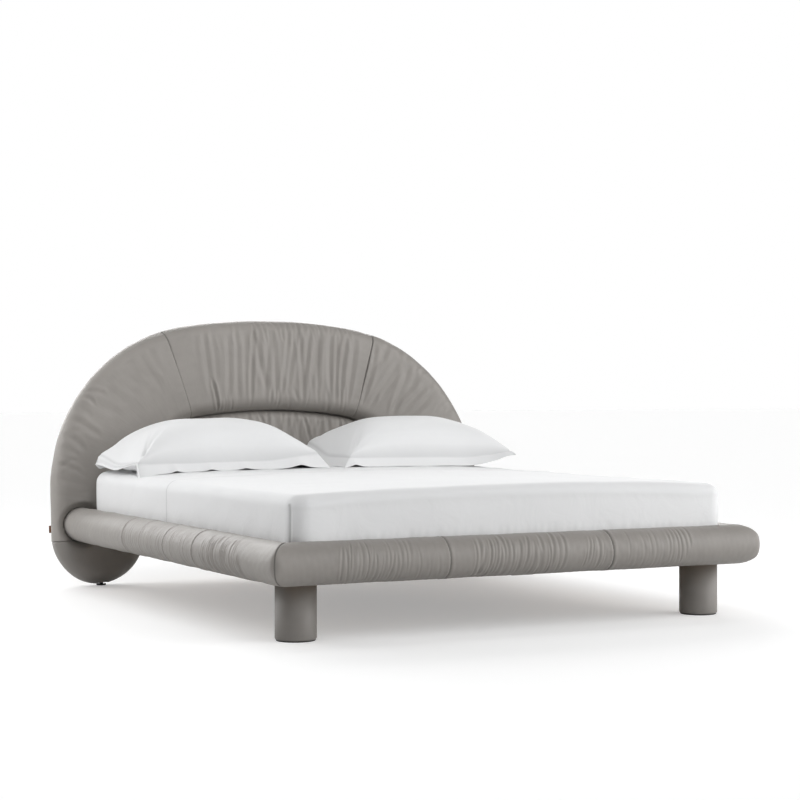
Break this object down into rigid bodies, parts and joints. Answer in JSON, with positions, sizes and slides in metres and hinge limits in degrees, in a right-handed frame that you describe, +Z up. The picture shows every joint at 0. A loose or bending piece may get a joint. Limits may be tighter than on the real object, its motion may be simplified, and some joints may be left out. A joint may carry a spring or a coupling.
{
  "type": "bed",
  "caption": "Leather platform bed with bolster rails, a fat rolled arch headboard with a recessed cushion, round legs, slatted base, mattress, sheets and pillows",
  "frame": {"origin": "on the floor, under the middle of the bed's overall length and width", "axes": "+X across the bed to its right seen from the foot, +Y from the foot towards the headboard, +Z up"},
  "size_m": [2.031, 2.3319, 1.1288],
  "materials": {
    "wood": "bare softwood and plywood",
    "beech": "sanded laminated beech",
    "steel": "zinc plated",
    "foam": "upholstery foam",
    "leather": "soft satin, gathered",
    "lobe_leather": "soft satin, smooth",
    "tag_leather": "plain, undyed edge",
    "back_fabric": "plain woven",
    "black_plastic": "moulded, matt",
    "ticking": "woven ticking",
    "white_cotton": "washed cotton"
  },
  "bodies": {
    "bedstead": {"left_rail_board": "wood", "right_rail_board": "wood", "foot_rail_board": "wood", "left_corner_plate": "wood", "right_corner_plate": "wood", "left_leg": "wood", "right_leg": "wood", "left_headboard_post": "wood", "right_headboard_post": "wood", "headboard_panel": "wood", "head_ledger": "wood", "left_slat_ledger": "wood", "right_slat_ledger": "wood", "corner_screws": "steel", "leg_bolts": "steel", "headboard_post_bolts": "steel", "headboard_bracket_bolts": "steel", "ledger_screws": "steel", "left_headboard_bracket": "steel", "right_headboard_bracket": "steel", "left_foot_socket": "steel", "right_foot_socket": "steel", "beam_stirrups": "steel", "center_beam": "steel", "left_rail_padding": "foam", "right_rail_padding": "foam", "foot_rail_padding": "foam", "left_rail_cover": "leather", "right_rail_cover": "leather", "foot_rail_cover": "leather", "left_leg_cover": "leather", "right_leg_cover": "leather", "left_headboard_band": "leather", "right_headboard_band": "leather", "center_headboard_band": "leather", "headboard_cushion": "leather", "left_headboard_foot": "lobe_leather", "right_headboard_foot": "lobe_leather", "left_leg_glide": "black_plastic", "right_leg_glide": "black_plastic", "left_slat_caps": "black_plastic", "right_slat_caps": "black_plastic", "center_slat_caps": "black_plastic", "left_slats": "beech", "right_slats": "beech", "headboard_back_cover": "back_fabric", "side_tag": "tag_leather"},
    "mattress_set": {"mattress": "ticking", "fitted_sheet": "white_cotton", "flat_sheet": "white_cotton"},
    "left_pillow_set": {"left_pillow": "ticking", "left_pillowcase": "white_cotton"},
    "right_pillow_set": {"right_pillow": "ticking", "right_pillowcase": "white_cotton"},
    "left_foot_set": {"left_leveling_foot": "black_plastic"},
    "right_foot_set": {"right_leveling_foot": "black_plastic"}
  },
  "joints": [
    {"name": "mattress_lift", "type": "slide", "parent": "bedstead", "child": "mattress_set", "axis": [0, 0, 1], "range_m": [0, 0.3]},
    {"name": "left_pillow_lift", "type": "slide", "parent": "mattress_set", "child": "left_pillow_set", "axis": [0, 0, 1], "range_m": [0, 0.3]},
    {"name": "right_pillow_lift", "type": "slide", "parent": "mattress_set", "child": "right_pillow_set", "axis": [0, 0, 1], "range_m": [0, 0.3]},
    {"name": "left_foot_travel", "type": "slide", "parent": "bedstead", "child": "left_foot_set", "axis": [0, 0, -1], "range_m": [0, 0.01]},
    {"name": "right_foot_travel", "type": "slide", "parent": "bedstead", "child": "right_foot_set", "axis": [0, 0, -1], "range_m": [0, 0.01]}
  ]
}
